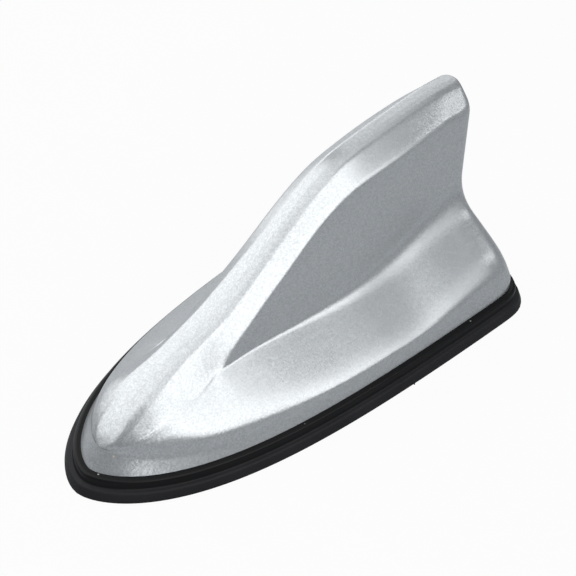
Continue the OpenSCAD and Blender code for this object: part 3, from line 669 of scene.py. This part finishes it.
def flake_effect():
    """Grain of the flakes in a satin silver paint, with one small scratch."""
    group, given, result = effect(
        "paint_flakes", ["Vector", "Colour", "Density", "Contrast", "Tilt"],
        ["Colour", "Roughness", "Normal"],
    )
    vector = given["Vector"]
    cells = node(group, "ShaderNodeTexVoronoi", {"Vector": vector, "Scale": given["Density"]})
    fine_scale = arithmetic(group, "MULTIPLY", given["Density"], FLAKE_SCALE)
    fine = noise(group, vector, fine_scale, detail=1.0)
    split = node(group, "ShaderNodeSeparateXYZ", {"Vector": cells.outputs["Color"]})
    mixed = arithmetic(group, "MULTIPLY_ADD", fine, FLAKE_SHARE, split.outputs["X"])
    about_zero = arithmetic(group, "SUBTRACT", mixed, FLAKE_MIDDLE)
    shade = arithmetic(group, "MULTIPLY_ADD", about_zero, given["Contrast"], 1.0)
    scratch = fleck(group, vector, fine, *COVER_FLECK)
    marked = blended(group, scratch, scaled(group, given["Colour"], shade), SCRATCH_COLOUR)
    group.links.new(marked, result["Colour"])
    cloud = noise(group, vector, scale=60.0, detail=2.0)
    group.links.new(remap(group, cloud, *NOISE_SPAN, *PAINT_ROUGHNESS), result["Roughness"])
    lean = vector_sum(group, "SUBTRACT", cells.outputs["Color"], FLAKE_CENTRE)
    surface = node(group, "ShaderNodeNewGeometry")
    leaned = vector_sum(group, "ADD", surface.outputs["Normal"], scaled(group, lean, given["Tilt"]))
    group.links.new(vector_sum(group, "NORMALIZE", leaned), result["Normal"])
    return group


def rubber_effect():
    """Moulded rubber with a glossier upper tier, a lower tier painted lighter as a painted sheen and an
    upper one painted darker as painted shade, a faint bloom and a few specks of dust.
    """
    group, given, result = effect(
        "moulded_rubber", ["Vector", "Colour", "Gloss And Painted Light From", "Dust"], ["Colour", "Roughness", "Height"]
    )
    vector = given["Vector"]
    split = node(group, "ShaderNodeSeparateXYZ", {"Vector": vector})
    above = arithmetic(group, "SUBTRACT", split.outputs["Z"], given["Gloss And Painted Light From"])
    upper = remap(group, above, 0.0, TIER_BLEND, *MASK_SPAN)
    grain = noise(group, vector, scale=1500.0, detail=3.0)
    bloom = noise(group, vector, scale=45.0, detail=4.0)
    specks = node(group, "ShaderNodeTexVoronoi", {"Vector": vector, "Scale": 210.0})
    near = remap(group, specks.outputs["Distance"], *SPECK_EDGE, 1.0, 0.0)
    sparse = remap(group, bloom, *SPECK_SPREAD, *MASK_SPAN)
    dust = arithmetic(group, "MULTIPLY", arithmetic(group, "MULTIPLY", near, sparse), given["Dust"])
    for place, reach in GASKET_FLECKS:
        dust = arithmetic(group, "MAXIMUM", dust, fleck(group, vector, grain, place, reach))
    # painted light: the lower tier's colour is scaled lighter as a painted sheen, the upper tier's darker
    # as painted shade
    matt = scaled(group, given["Colour"], remap(group, upper, *MASK_SPAN, *TIER_PAINTED_LIGHT))
    clouded = scaled(group, matt, remap(group, bloom, *NOISE_SPAN, *BLOOM_SHADES))
    group.links.new(blended(group, dust, clouded, DUST_COLOUR), result["Colour"])
    rough = remap(group, upper, *MASK_SPAN, *TIER_ROUGHNESS)
    dusty = arithmetic(group, "MULTIPLY_ADD", dust, DUST_ROUGHNESS, rough)
    group.links.new(dusty, result["Roughness"])
    group.links.new(grain, result["Height"])
    return group


def moulding_effect():
    """Fine spark-eroded grain of moulded plastic, a little uneven in shade."""
    group, given, result = effect(
        "moulded_grain", ["Vector", "Colour", "Grain", "Roughness"], ["Colour", "Roughness", "Height"]
    )
    grain = noise(group, given["Vector"], given["Grain"], detail=2.0)
    broad = noise(group, given["Vector"], scale=70.0, detail=3.0)
    shade = remap(group, broad, *NOISE_SPAN, *PLASTIC_SHADES)
    group.links.new(scaled(group, given["Colour"], shade), result["Colour"])
    uneven = remap(group, grain, *PLASTIC_SPAN, *PLASTIC_UNEVEN)
    group.links.new(arithmetic(group, "ADD", given["Roughness"], uneven), result["Roughness"])
    group.links.new(grain, result["Height"])
    return group


def drawn_metal_effect():
    """Drawn or plated metal: fine streaks along one way and a slight tarnish."""
    group, given, result = effect(
        "drawn_metal", ["Vector", "Colour", "Tarnish", "Roughness"], ["Colour", "Roughness", "Height"]
    )
    stretched = node(group, "ShaderNodeMapping", {"Vector": given["Vector"], "Scale": STREAK_SCALE})
    streaks = noise(group, stretched.outputs[0], scale=1.0, detail=3.0)
    patches = noise(group, given["Vector"], scale=160.0, detail=4.0)
    spread = remap(group, patches, *TARNISH_SPREAD, *MASK_SPAN)
    worn = arithmetic(group, "MULTIPLY", spread, given["Tarnish"])
    dull = scaled(group, given["Colour"], TARNISH_SHADE)
    group.links.new(blended(group, worn, given["Colour"], dull), result["Colour"])
    rough = arithmetic(group, "MULTIPLY_ADD", streaks, STREAK_ROUGHNESS, given["Roughness"])
    duller = arithmetic(group, "MULTIPLY_ADD", worn, TARNISH_ROUGHNESS, rough)
    group.links.new(duller, result["Roughness"])
    group.links.new(streaks, result["Height"])
    return group


def foam_effect():
    """Open cells of a soft foam, painted darker in their pits as painted shade."""
    group, given, result = effect(
        "foam_cells", ["Vector", "Colour", "Cells"], ["Colour", "Roughness", "Height"]
    )
    cells = node(group, "ShaderNodeTexVoronoi", {"Vector": given["Vector"], "Scale": given["Cells"]})
    depth = cells.outputs["Distance"]
    # painted shade: the colour is darker where the cells are deepest
    shade = remap(group, depth, *FOAM_SPAN, *FOAM_PAINTED_SHADE)
    group.links.new(scaled(group, given["Colour"], shade), result["Colour"])
    group.links.new(remap(group, depth, *FOAM_DEPTH, *FOAM_ROUGHNESS), result["Roughness"])
    group.links.new(depth, result["Height"])
    return group


def laminate_effect():
    """Glass-cloth board under solder mask, with raised copper areas and small vias."""
    group, given, result = effect(
        "board_mask", ["Vector", "Colour", "Shade"], ["Colour", "Roughness", "Height"]
    )
    laid = node(group, "ShaderNodeMapping", {"Vector": given["Vector"], "Scale": COPPER_SCALE})
    cells = {"Vector": laid.outputs[0], "Scale": 1.0, "Randomness": 0.75}
    areas = node(group, "ShaderNodeTexVoronoi", cells, distance="CHEBYCHEV")
    edges = node(
        group, "ShaderNodeTexVoronoi", cells, distance="EUCLIDEAN", feature="DISTANCE_TO_EDGE"
    )
    copper = remap(group, edges.outputs["Distance"], *COPPER_EDGE, *MASK_SPAN)
    vias = remap(group, areas.outputs["Distance"], *COPPER_EDGE, 1.0, 0.0)
    cloth = node(group, "ShaderNodeTexWave", {
        "Vector": given["Vector"], "Scale": 420.0, "Distortion": 0.4,
    })
    weave = cloth.outputs["Fac"]
    masked = blended(group, copper, given["Colour"], given["Shade"])
    group.links.new(blended(group, vias, masked, SOLDER_COLOUR), result["Colour"])
    group.links.new(remap(group, weave, *MASK_SPAN, *MASK_ROUGHNESS), result["Roughness"])
    raised = arithmetic(group, "MULTIPLY_ADD", weave, WEAVE_HEIGHT, copper)
    group.links.new(raised, result["Height"])
    return group


def finish(name, group, values, surface, relief=0.0, depth=0.05 * MM):
    """A material whose colour, roughness and relief come from an effect."""
    material = bpy.data.materials.new(name)
    material.use_nodes = True
    tree = material.node_tree
    shader = tree.nodes["Principled BSDF"]
    place = node(tree, "ShaderNodeTexCoord")
    made = tree.nodes.new("ShaderNodeGroup")
    made.node_tree = group
    tree.links.new(place.outputs["Object"], made.inputs["Vector"])
    for label, value in values.items():
        made.inputs[label].default_value = value
    tree.links.new(made.outputs["Colour"], shader.inputs["Base Color"])
    tree.links.new(made.outputs["Roughness"], shader.inputs["Roughness"])
    if "Normal" in made.outputs:
        tree.links.new(made.outputs["Normal"], shader.inputs["Normal"])
    elif relief:
        bump = node(tree, "ShaderNodeBump", {"Strength": relief, "Distance": depth})
        tree.links.new(made.outputs["Height"], bump.inputs["Height"])
        tree.links.new(bump.outputs["Normal"], shader.inputs["Normal"])
    for label, value in surface.items():
        shader.inputs[label].default_value = value
    return material


def dress(material, *names):
    """Gives inner pieces a finish."""
    for name in names:
        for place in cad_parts[name].material_slots:
            place.material = material


def opaque(colour):
    """A colour with its alpha."""
    return (*colour[:3], 1.0)


class OBJECT_OT_painted_cover(bpy.types.Operator):
    """Lofts the painted shell of the aerial and colours it in satin silver"""

    bl_idname = "object.aerial_painted_cover"
    bl_label = "Painted cover"

    def skin(self, bm, form, lines):
        """Lofts a skin over both sides and closes the small gap at its tip."""
        standing = set(bm.verts)
        loft(bm, lines)
        verts = [vert for vert in bm.verts if vert not in standing]
        edges = {edge for vert in verts for edge in vert.link_edges}
        faces = {face for vert in verts for face in vert.link_faces}
        bmesh.ops.mirror(bm, geom=[*verts, *edges, *faces], axis="Y", merge_dist=WELD)
        bmesh.ops.remove_doubles(bm, verts=bm.verts[:], dist=WELD)
        above_rim = form.rim + MM
        gap = [
            edge for edge in bm.edges
            if edge.is_boundary and min(vert.co.z for vert in edge.verts) > above_rim
        ]
        bmesh.ops.holes_fill(bm, edges=gap, sides=0)

    def execute(self, context):
        sizes = context.scene.aerial_cover
        form = CoverForm(sizes)
        bm = bmesh.new()
        count = len(form.stations)
        self.skin(bm, form, [form.section(k, 0.0, 1.0) for k in range(count)])
        self.skin(bm, form, [
            form.section(k, sizes.wall, INNER_FINENESS) for k in range(0, count, INNER_STRIDE)
        ])
        rims = [edge for edge in bm.edges if edge.is_boundary]
        bmesh.ops.bridge_loops(bm, edges=rims)
        paint = finish(
            "satin_silver_paint", flake_effect(),
            {"Colour": opaque(sizes.paint), "Density": 1 / sizes.flake, "Contrast": 0.24, "Tilt": 0.06},
            {"Metallic": 0.8, "Coat Weight": 0.25, "Coat Roughness": 0.3},
        )
        piece = finished(bm, "painted_cover", paint)
        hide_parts("fin_cover")
        return {"FINISHED"}


class OBJECT_OT_screw_bosses(bpy.types.Operator):
    """Turns the cover's screw bosses and ties them to its walls with ribs"""

    bl_idname = "object.aerial_screw_bosses"
    bl_label = "Screw bosses"

    def rib(self, bm, form, wall, spot, side):
        """A rib across the cover, from a boss to the nearest wall."""
        reached = [k for k, point in enumerate(form.rim_line) if point.x >= spot.x]
        rails = form.rails(reached[0], wall / 2)
        band, mid = rails[1], rails[2]
        start = abs(spot.y) + RIB_START
        outline = [
            (start, RIB_FROM), (band.y - RIB_SHORT, RIB_FROM), (mid.y, mid.z), (start, RIB_TO),
        ]
        panel(bm, [(spot.x, side * y, z) for y, z in outline], (RIB, 0, 0))

    def keel(self, bm, form, wall, spot):
        """The rib along the middle, from the nose boss up to the crown."""
        low, high = KEEL_SHARES
        crown = [
            form.rails(k, wall / 2)[-1] for k, station in enumerate(form.stations)
            if low <= station[0] <= high
        ]
        behind = spot.x + RIB_START
        outline = [
            (crown[0].x, RIB_TO), (behind, RIB_TO), (behind, BOSS_TO), (crown[-1].x, BOSS_TO),
        ] + [(point.x, point.z) for point in reversed(crown)]
        panel(bm, [(x, 0, z) for x, z in outline], (0, RIB, 0))

    def execute(self, context):
        sizes = context.scene.aerial_cover
        form = CoverForm(sizes)
        bm = bmesh.new()
        nose = Vector((form.nose + BOSS_BACK, 0))
        spots = [nose]
        self.keel(bm, form, sizes.wall, nose)
        for share in BOSS_SHARES:
            out = form.half_plan(share) - BOSS_IN
            for side in (-1, 1):
                spot = Vector((form.nose + share * sizes.length, side * out))
                spots.append(spot)
                self.rib(bm, form, sizes.wall, spot, side)
        for spot in spots:
            turned(bm, [
                (0, BORE_TO), (BORE_RADIUS, BORE_TO), (BORE_RADIUS, BOSS_FROM + BOSS_EASE),
                (BORE_RADIUS + BOSS_EASE, BOSS_FROM), (BOSS_RADIUS - BOSS_EASE, BOSS_FROM),
                (BOSS_RADIUS, BOSS_FROM + BOSS_EASE), (BOSS_RADIUS, BOSS_TO), (0, BOSS_TO),
            ], spot)
        piece = finished(bm, "screw_bosses", bpy.data.materials["satin_silver_paint"])
        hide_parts("fin_cover")
        return {"FINISHED"}


class OBJECT_OT_stepped_gasket(bpy.types.Operator):
    """Lofts the two-tier rubber gasket round the rim of the cover"""

    bl_idname = "object.aerial_stepped_gasket"
    bl_label = "Stepped gasket"

    def outline(self, form, sizes, share, inside):
        """Half outline at a share of the lip's width, or a distance inside the rim."""
        line = []
        for point, out in zip(form.rim_line, form.outward):
            end = sizes.nose if out.x < 0 else sizes.tail
            lip = sizes.side * out.y * out.y + end * out.x * out.x
            moved = point + out * (share * lip - inside)
            line.append(Vector((moved.x, max(0, moved.y))))
        return line

    def nib(self, bm, form, sizes):
        """The small nib that the mould left at the outer edge of the lip."""
        k = [station[0] >= NIB_SHARE for station in form.stations].index(True)
        out = Vector((form.outward[k].x, -form.outward[k].y, 0))
        edge = Vector((form.rim_line[k].x, -form.rim_line[k].y, NIB_HEIGHT)) + sizes.side * out
        turn = Vector((0, 0, 1)).rotation_difference(out).to_matrix().to_4x4()
        bmesh.ops.create_cone(
            bm, cap_ends=True, segments=NIB_SIDES, radius1=NIB_RADIUS, radius2=NIB_TIP_RADIUS,
            depth=NIB_LENGTH, matrix=Matrix.Translation(edge + NIB_OUT * out) @ turn,
        )

    def execute(self, context):
        sizes = context.scene.aerial_gasket
        form = CoverForm(context.scene.aerial_cover)
        rim = form.rim
        step = sizes.step
        # Shares of the lip's width, distances inside the rim and heights, from the outer edge inwards
        profile = [
            (1, 0, 0), (1, 0, 0.25 * MM), (1, 0, 0.7 * MM), (0.97, 0, 1.1 * MM),
            (0.85, 0, step - 0.55 * MM), (0.8, 0, step - 0.12 * MM), (0.72, 0, step),
            (0.6, 0, step + 0.08 * MM), (0.53, 0, step + 0.2 * MM), (0.49, 0, step + 0.7 * MM),
            (0.47, 0, rim - 0.9 * MM), (0.455, 0, rim - 0.5 * MM), (0.41, 0, rim - 0.18 * MM),
            (0.34, 0, rim - 0.05 * MM), (0.2, 0, rim - 0.02 * MM), (0.04, 0, rim - 0.05 * MM),
            (0, 0.1 * MM, rim - 0.02 * MM), (0, UPPER_LIP_IN, rim - 0.02 * MM),
            (0, UPPER_LIP_IN, GROOVE_HIGH), (0, GROOVE_IN, GROOVE_HIGH), (0, GROOVE_IN, GROOVE_LOW),
            (0, LOWER_LIP_IN, GROOVE_LOW), (0, LOWER_LIP_IN, 0), (0, 2.8 * MM, 0),
            (0, 2.4 * MM, CHANNEL_HIGH), (0, 1.4 * MM, CHANNEL_HIGH), (0, 1 * MM, 0),
        ]
        lines = [self.outline(form, sizes, share, inside) for share, inside, height in profile]
        bm = bmesh.new()
        loft(bm, [
            [Vector((line[k].x, line[k].y, height)) for line, (_, _, height) in zip(lines, profile)]
            for k in range(len(form.stations))
        ], closed=True)
        bmesh.ops.mirror(bm, geom=bm.verts[:] + bm.edges[:] + bm.faces[:], axis="Y", merge_dist=WELD)
        self.nib(bm, form, sizes)
        rubber = finish(
            "moulded_rubber", rubber_effect(),
            {"Colour": opaque(sizes.rubber), "Gloss And Painted Light From": step + 0.15 * MM, "Dust": 0.8},
            {"Specular IOR Level": 0.14}, relief=0.25,
        )
        piece = finished(bm, "stepped_gasket", rubber, smooth_to=50)
        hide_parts("roof_gasket")
        return {"FINISHED"}


class OBJECT_OT_inner_finishes(bpy.types.Operator):
    """Finishes the base plate, the fasteners, the board and the aerial's elements"""

    bl_idname = "object.aerial_inner_finishes"
    bl_label = "Inner finishes"

    def execute(self, context):
        moulded = moulding_effect()
        metal = drawn_metal_effect()
        foam = foam_effect()

        def plastic(name, colour, roughness, *nodes):
            dress(finish(
                name, moulded, {"Colour": opaque(colour), "Grain": 1300.0, "Roughness": roughness},
                {}, relief=0.3,
            ), *nodes)

        def metallic(name, colour, roughness, tarnish, *nodes):
            dress(finish(
                name, metal, {"Colour": opaque(colour), "Roughness": roughness, "Tarnish": tarnish},
                {"Metallic": 1.0}, relief=0.15,
            ), *nodes)

        def soft(name, colour, cells, *nodes):
            dress(finish(
                name, foam, {"Colour": opaque(colour), "Cells": cells}, {}, relief=0.8, depth=0.3 * MM,
            ), *nodes)

        plastic("black_base_plastic", (0.022, 0.023, 0.025), 0.5, "base_plate")
        plastic("grommet_rubber", (0.014, 0.014, 0.015), 0.62, "cable_grommet")
        plastic("chip_black", (0.018, 0.018, 0.02), 0.45, "amplifier_chip")
        plastic("capacitor_ceramic", (0.42, 0.28, 0.15), 0.4, "chip_capacitors")
        plastic("resistor_ceramic", (0.03, 0.032, 0.036), 0.38, "chip_resistors")
        plastic("header_nylon", (0.74, 0.71, 0.6), 0.48, "lead_header")
        plastic("carrier_plastic", (0.7, 0.69, 0.64), 0.46, "element_carrier")
        metallic(
            "zinc_screw", (0.62, 0.63, 0.64), 0.22, 0.5, "cover_screws", "board_screws", "carrier_screws",
        )
        metallic("tinned_sheet", (0.6, 0.61, 0.62), 0.3, 0.4, "shield_can")
        metallic("winding_copper", (0.55, 0.25, 0.12), 0.3, 0.5, "wound_inductors")
        metallic("capacitor_can", (0.66, 0.67, 0.68), 0.26, 0.2, "smoothing_capacitor")
        metallic("pin_brass", (0.72, 0.55, 0.24), 0.2, 0.4, "header_pins")
        metallic("coil_wire", (0.62, 0.3, 0.15), 0.22, 0.5, "radio_coil")
        metallic("plate_brass", (0.6, 0.47, 0.22), 0.3, 0.6, "top_plate", "coil_eyelet")
        soft("pad_foam", (0.035, 0.036, 0.038), 900.0, "adhesive_pad")
        soft("strip_foam", (0.07, 0.073, 0.077), 1100.0, "foam_strip")
        dress(finish(
            "board_laminate", laminate_effect(),
            {"Colour": (0.012, 0.09, 0.045, 1.0), "Shade": (0.018, 0.15, 0.07, 1.0)}, {}, relief=0.4,
        ), "circuit_board")
        return {"FINISHED"}


def soft_box(name, centre, facing, size, radiance):
    """An area lamp of a given size and radiance that faces one way."""
    lamp = bpy.data.lights.new(name, "AREA")
    lamp.shape = "RECTANGLE"
    lamp.size, lamp.size_y = size
    lamp.energy = radiance * math.pi * size[0] * size[1]
    made = bpy.data.objects.new(name, lamp)
    made.location = centre
    made.rotation_euler = Vector(facing).to_track_quat("-Z", "Y").to_euler()
    made.visible_camera = False
    bpy.context.scene.collection.objects.link(made)


def seen_rays(tree, tint, share):
    """For rays that look straight or through glass: mask and tint; for mirrored ones: their share."""
    path = node(tree, "ShaderNodeLightPath").outputs
    clear = arithmetic(tree, "MAXIMUM", path["Is Camera Ray"], path["Is Transmission Ray"])
    mirrored = arithmetic(tree, "MULTIPLY", path["Is Glossy Ray"], share)
    return clear, blended(tree, clear, tint, WHITE), mirrored


class OBJECT_OT_studio(bpy.types.Operator):
    """Sets the pale floor, the soft light and the camera"""

    bl_idname = "object.aerial_studio"
    bl_label = "Studio"

    def floor(self):
        """A wide pale floor that keeps the aerial's shadow."""
        bm = bmesh.new()
        bmesh.ops.create_grid(
            bm, x_segments=FLOOR_SQUARES, y_segments=FLOOR_SQUARES, size=FLOOR_SIZE,
        )
        mesh = bpy.data.meshes.new("studio_floor")
        bm.to_mesh(mesh)
        bm.free()
        floor = bpy.data.objects.new("studio_floor", mesh)
        bpy.context.scene.collection.objects.link(floor)
        material = bpy.data.materials.new("pale_floor")
        material.use_nodes = True
        tree = material.node_tree
        tree.nodes.clear()
        place = node(tree, "ShaderNodeTexCoord")
        grain = noise(tree, place.outputs["Object"], FLOOR_GRAIN, detail=2.0)
        shade = remap(tree, grain, *NOISE_SPAN, *FLOOR_SHADES)
        matt = node(tree, "ShaderNodeBsdfDiffuse", {"Color": shade})
        clear, tint, mirrored = seen_rays(tree, FLOOR_TINT, FLOOR_MIRRORED)
        glow = node(tree, "ShaderNodeEmission", {"Color": tint, "Strength": 1.0})
        pale = arithmetic(tree, "MULTIPLY", clear, FLOOR_CLEAR)
        factor = arithmetic(tree, "MAXIMUM", pale, mirrored)
        mixed = node(tree, "ShaderNodeMixShader", {0: factor, 1: matt.outputs[0], 2: glow.outputs[0]})
        out = tree.nodes.new("ShaderNodeOutputMaterial")
        tree.links.new(mixed.outputs[0], out.inputs["Surface"])
        mesh.materials.append(material)

    def world(self, fill):
        """Pale air all round, which gives a low fill light."""
        world = bpy.data.worlds.new("studio_air")
        bpy.context.scene.world = world
        world.use_nodes = True
        tree = world.node_tree
        light = tree.nodes["Background"]
        clear, tint, mirrored = seen_rays(tree, AIR_TINT, AIR_MIRRORED)
        tree.links.new(tint, light.inputs["Color"])
        shown = arithmetic(tree, "MAXIMUM", clear, mirrored)
        tree.links.new(arithmetic(tree, "MAXIMUM", shown, fill), light.inputs["Strength"])

    def camera(self, stage):
        """The camera, from its way round the aerial, its height, its roll and its distance."""
        turn = stage.azimuth
        rise = stage.elevation
        back = Vector((
            math.sin(turn) * math.cos(rise), -math.cos(turn) * math.cos(rise), math.sin(rise),
        ))
        right = Vector((math.cos(turn), math.sin(turn), 0))
        upright = back.cross(right)
        across = right * math.cos(stage.roll) + upright * math.sin(stage.roll)
        rising = upright * math.cos(stage.roll) - right * math.sin(stage.roll)
        data = bpy.data.cameras.new("photo_camera")
        data.lens = stage.focal
        data.sensor_width = SENSOR
        data.shift_x = SHIFT_RIGHT / PICTURE
        data.shift_y = SHIFT_UP / PICTURE
        data.clip_end = CLIP_END
        camera = bpy.data.objects.new("photo_camera", data)
        turned_to = Matrix((across, rising, back)).transposed().to_4x4()
        aim = Vector((0, 0, AIM_HEIGHT))
        camera.matrix_world = Matrix.Translation(aim + back * stage.distance) @ turned_to
        bpy.context.scene.collection.objects.link(camera)
        bpy.context.scene.camera = camera

    def execute(self, context):
        stage = context.scene.aerial_stage
        self.floor()
        self.world(stage.fill_light)
        for name, (centre, facing, size, share) in SOFT_BOXES.items():
            soft_box(name, centre, facing, size, share * stage.key_light)
        self.camera(stage)
        context.scene.view_settings.view_transform = "Standard"
        return {"FINISHED"}


class VIEW3D_PT_aerial(bpy.types.Panel):
    """Sizes, finishes and pieces of the aerial"""

    bl_label = "Shark fin aerial"
    bl_idname = "VIEW3D_PT_aerial"
    bl_space_type = "VIEW_3D"
    bl_region_type = "UI"
    bl_category = "Aerial"

    def draw(self, context):
        layout = self.layout
        for setting in SETTINGS:
            group = getattr(context.scene, setting)
            box = layout.box()
            for name in group.__annotations__:
                box.prop(group, name)
        for operator in OPERATORS:
            layout.operator(operator.bl_idname)


SETTINGS = {
    "aerial_cover": CoverSettings,
    "aerial_gasket": GasketSettings,
    "aerial_stage": StageSettings,
}
OPERATORS = [
    OBJECT_OT_painted_cover,
    OBJECT_OT_screw_bosses,
    OBJECT_OT_stepped_gasket,
    OBJECT_OT_inner_finishes,
    OBJECT_OT_studio,
]


def register():
    for kind in [*SETTINGS.values(), *OPERATORS, VIEW3D_PT_aerial]:
        bpy.utils.register_class(kind)
    for name, kind in SETTINGS.items():
        setattr(bpy.types.Scene, name, PointerProperty(type=kind))


def unregister():
    for name in SETTINGS:
        delattr(bpy.types.Scene, name)
    for kind in reversed([*SETTINGS.values(), *OPERATORS, VIEW3D_PT_aerial]):
        bpy.utils.unregister_class(kind)


def main():
    """Builds every piece."""
    register()
    bpy.ops.object.aerial_painted_cover()
    bpy.ops.object.aerial_screw_bosses()
    bpy.ops.object.aerial_stepped_gasket()
    bpy.ops.object.aerial_inner_finishes()
    bpy.ops.object.aerial_studio()


if __name__ == "__main__":
    main()
